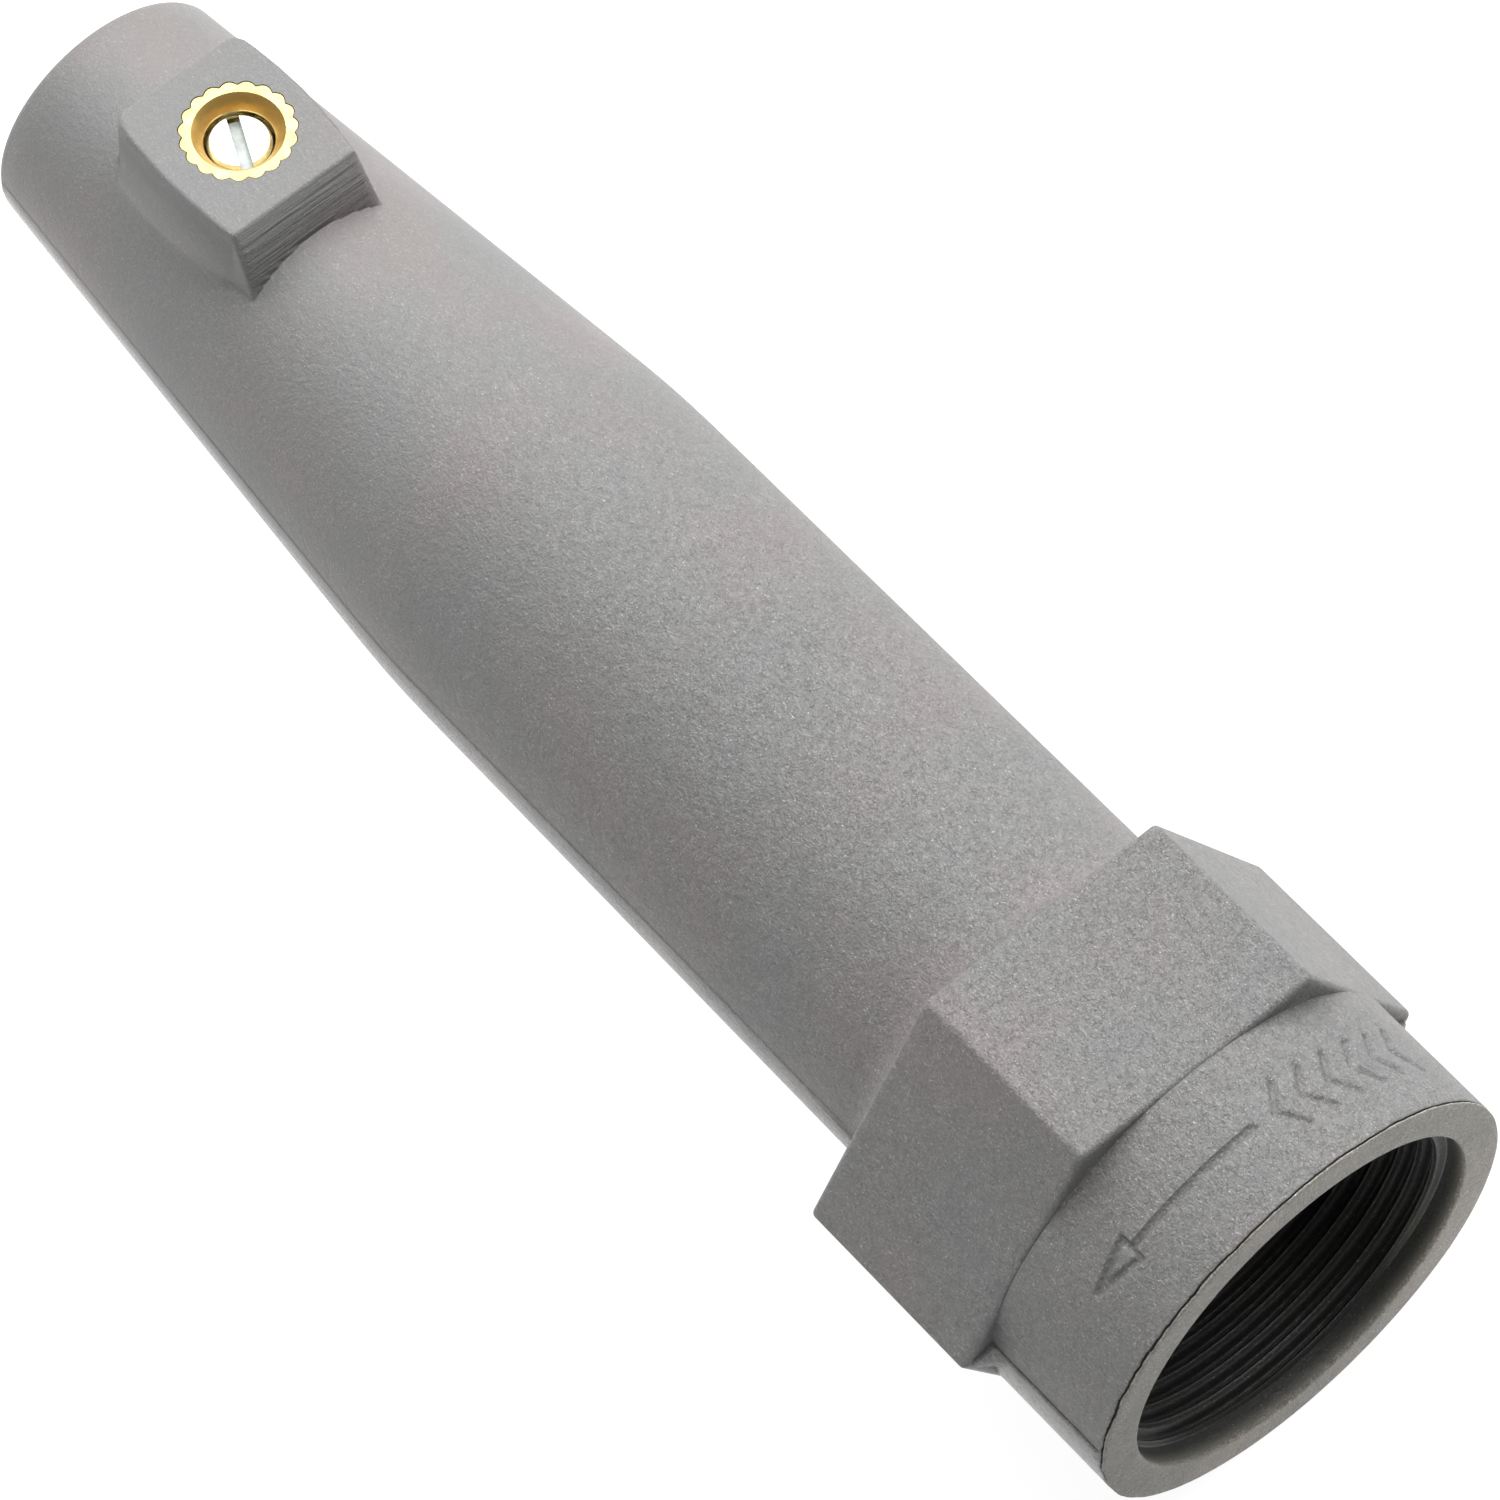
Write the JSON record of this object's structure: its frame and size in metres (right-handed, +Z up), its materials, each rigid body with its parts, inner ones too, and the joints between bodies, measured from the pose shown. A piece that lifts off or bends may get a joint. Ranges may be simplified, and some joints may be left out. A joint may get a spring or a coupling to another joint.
{
  "type": "threaded adapter nozzle",
  "caption": "Tapered grey nylon adapter nozzle with a spanner hexagon, left-hand internal thread at its mouth and a brass-insert set screw that clamps what enters its small end.",
  "frame": {"origin": "middle of the underside of the bounding box: under the sleeve's axis, on the plane of the hexagon's lower flat, halfway along the length", "axes": "+X along the sleeve's axis towards the threaded mouth, +Z up through the hexagon's top flat and the screw boss, +Y to the right seen from the mouth"},
  "size_m": [0.1316, 0.0416, 0.036],
  "materials": {
    "grey_nylon": "matte",
    "brass": "satin",
    "zinc_steel": "satin"
  },
  "bodies": {
    "sleeve": {"nozzle_body": "grey_nylon", "threaded_insert": "brass"},
    "clamp_screw": {"set_screw": "zinc_steel"}
  },
  "joints": [
    {"name": "clamp_screw_travel", "type": "slide", "parent": "sleeve", "child": "clamp_screw", "axis": [0, 0, 1], "range_m": [-0.004, 0.0012]}
  ]
}
